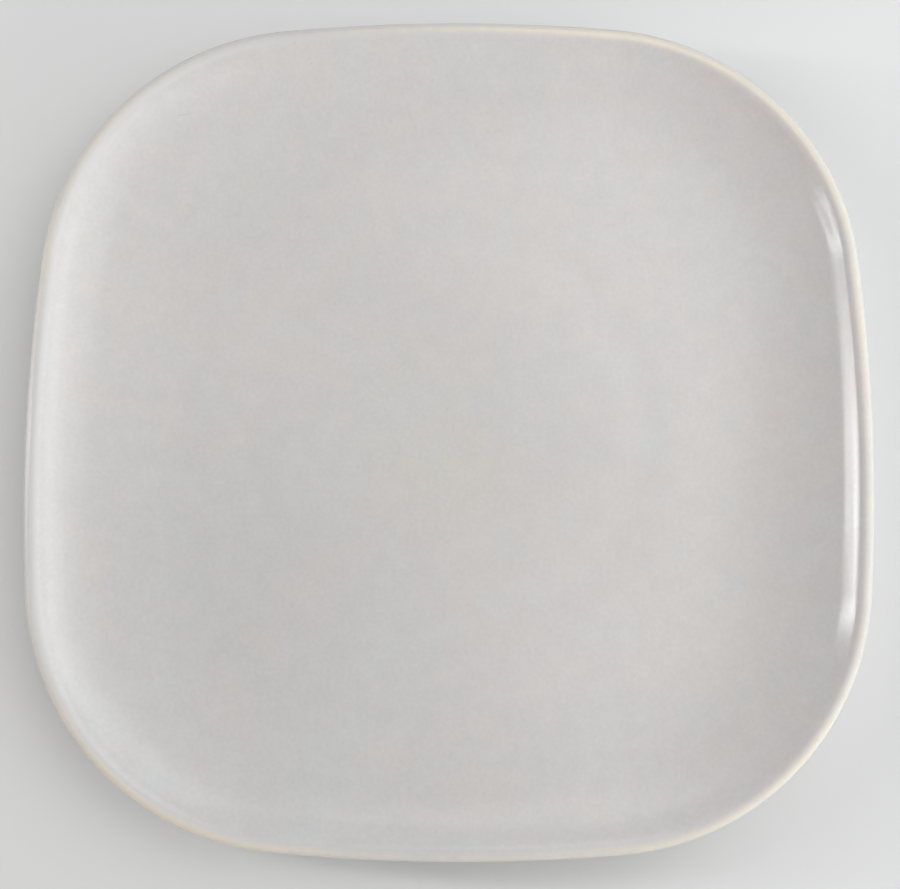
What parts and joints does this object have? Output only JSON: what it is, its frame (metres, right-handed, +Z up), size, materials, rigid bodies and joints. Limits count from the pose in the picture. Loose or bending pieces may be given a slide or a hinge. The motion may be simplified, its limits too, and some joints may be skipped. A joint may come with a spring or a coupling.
{
  "type": "salad plate",
  "caption": "Rounded-square coupe salad plate of pale grey glazed stoneware, with a gently rising wall, a rolled lip whose clay shows through as a cream line, and a round dry foot ring.",
  "frame": {"origin": "on the table, under the middle of the plate", "axes": "+Z up out of the eating face; +X and +Y square to the two pairs of sides, +Y away from the eater"},
  "size_m": [0.2, 0.2, 0.0171],
  "materials": {
    "stoneware_clay": "dry fired stoneware, buff to cream",
    "grey_glaze": "satin pale warm grey glaze, thinning to cream at the lip"
  },
  "bodies": {
    "root": {"clay_body": "stoneware_clay", "face_glaze": "grey_glaze", "back_glaze": "grey_glaze", "foot_recess_glaze": "grey_glaze"}
  },
  "joints": []
}
